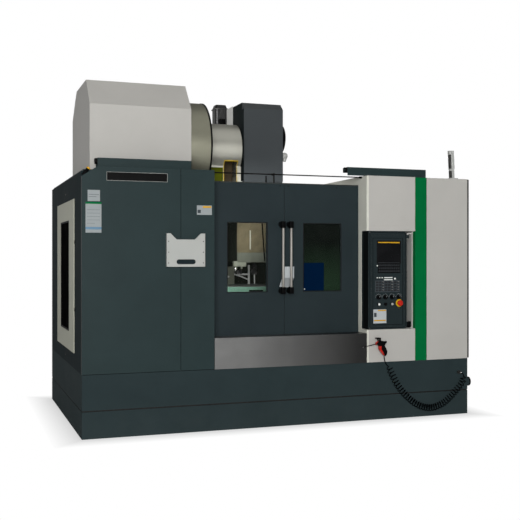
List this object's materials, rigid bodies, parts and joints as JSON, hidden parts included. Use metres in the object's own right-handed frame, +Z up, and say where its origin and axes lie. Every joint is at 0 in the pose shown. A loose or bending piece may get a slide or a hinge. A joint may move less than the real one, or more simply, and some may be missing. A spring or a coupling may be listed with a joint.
{
  "type": "vertical machining center",
  "caption": "Enclosed vertical milling machine with sliding doors, roof tool magazine, pivoting control panel and an air gun on a coiled hose.",
  "frame": {"origin": "on the floor at the centre of the enclosure's footprint", "axes": "+X along the width, to the right of the operator; +Y to the back; +Z up"},
  "size_m": [3.446, 2.52, 2.884],
  "materials": {
    "dark_paint": "satin powder coat, dark slate grey",
    "side_paint": "satin powder coat, darker slate grey",
    "door_paint": "satin powder coat, dark slate grey",
    "light_paint": "satin powder coat, light warm grey",
    "green_paint": "satin powder coat, green",
    "hatch_paint": "satin powder coat, beige grey",
    "cover_paint": "satin powder coat, mid grey",
    "drum_paint": "satin paint, beige grey",
    "head_paint": "satin paint, beige",
    "casting": "painted casting",
    "table_iron": "ground cast iron",
    "chamber_sheet": "painted sheet",
    "steel": "ground steel",
    "stainless": "brushed stainless sheet",
    "handle_steel": "polished tube",
    "pocket_sheet": "satin white",
    "black_trim": "matt black",
    "black_plastic": "matt black",
    "key_plastic": "matt dark grey",
    "white_plastic": "off-white block",
    "grey_plastic": "grey elbow",
    "red_plastic": "gloss red",
    "screen": "dark display glass",
    "window": "tinted safety glass",
    "hose": "matt black hose"
  },
  "bodies": {
    "enclosure": {"base_skirt_lower": "dark_paint", "base_skirt_upper": "dark_paint", "machine_bed": "casting", "column": "head_paint", "z_guides": "steel", "z_axis_motor": "black_trim", "z_drive_housing": "head_paint", "magazine_cover": "light_paint", "magazine_drum": "drum_paint", "magazine_rim": "black_trim", "magazine_hub": "drum_paint", "left_front_panel": "dark_paint", "left_inner_panel": "dark_paint", "left_side_panel": "side_paint", "left_side_hatch": "hatch_paint", "left_side_window": "window", "left_roof_panel": "dark_paint", "chamber_front_frame": "chamber_sheet", "chamber_walls": "chamber_sheet", "chip_slopes": "chamber_sheet", "door_rails": "chamber_sheet", "front_apron": "stainless", "bay_panels": "light_paint", "bay_return": "light_paint", "bay_recess": "light_paint", "stripe_panel": "green_paint", "end_panel": "light_paint", "right_side_panel": "light_paint", "right_roof_panel": "light_paint", "rear_panel": "dark_paint", "electrical_cabinet": "light_paint", "panel_pivot": "black_trim", "tower_light": "steel", "top_channels": "dark_paint", "top_rod": "steel", "document_pocket": "pocket_sheet", "nameplate_blank": "black_trim", "air_gun": "black_plastic", "hose_fitting": "steel", "air_hose_lead": "hose", "air_hose_coil": "hose"},
    "door_left": {"door_left": "door_paint", "door_left_glass": "window", "door_left_handle": "handle_steel"},
    "door_right": {"door_right": "door_paint", "door_right_glass": "window", "door_right_handle": "handle_steel"},
    "saddle": {"saddle": "casting"},
    "table": {"work_table": "table_iron"},
    "head": {"spindle_head": "head_paint", "coolant_block": "white_plastic", "head_cover": "cover_paint", "head_side_disc": "black_trim", "head_side_elbow": "grey_plastic"},
    "spindle": {"spindle": "steel"},
    "control_panel": {"control_box": "door_paint", "control_screen": "screen", "control_keys": "key_plastic", "control_switches": "key_plastic", "emergency_stop": "red_plastic"}
  },
  "joints": [
    {"name": "door_left_slide", "type": "slide", "parent": "enclosure", "child": "door_left", "axis": [-1, 0, 0], "range_m": [0, 0.6]},
    {"name": "door_right_slide", "type": "slide", "parent": "enclosure", "child": "door_right", "axis": [1, 0, 0], "range_m": [0, 0.6]},
    {"name": "saddle_y_slide", "type": "slide", "parent": "enclosure", "child": "saddle", "axis": [0, 1, 0], "range_m": [-0.24, 0.3]},
    {"name": "table_x_slide", "type": "slide", "parent": "saddle", "child": "table", "axis": [1, 0, 0], "range_m": [-0.6, 0.6]},
    {"name": "head_z_slide", "type": "slide", "parent": "enclosure", "child": "head", "axis": [0, 0, 1], "range_m": [-0.14, 0.4]},
    {"name": "spindle_spin", "type": "hinge", "parent": "head", "child": "spindle", "pos_m": [-0.005, -0.13, 1.36], "axis": [0, 0, 1], "continuous": true},
    {"name": "control_panel_pivot", "type": "hinge", "parent": "enclosure", "child": "control_panel", "pos_m": [1.125, -0.975, 0.771], "axis": [0, 0, 1], "range_deg": [0, 60]}
  ]
}
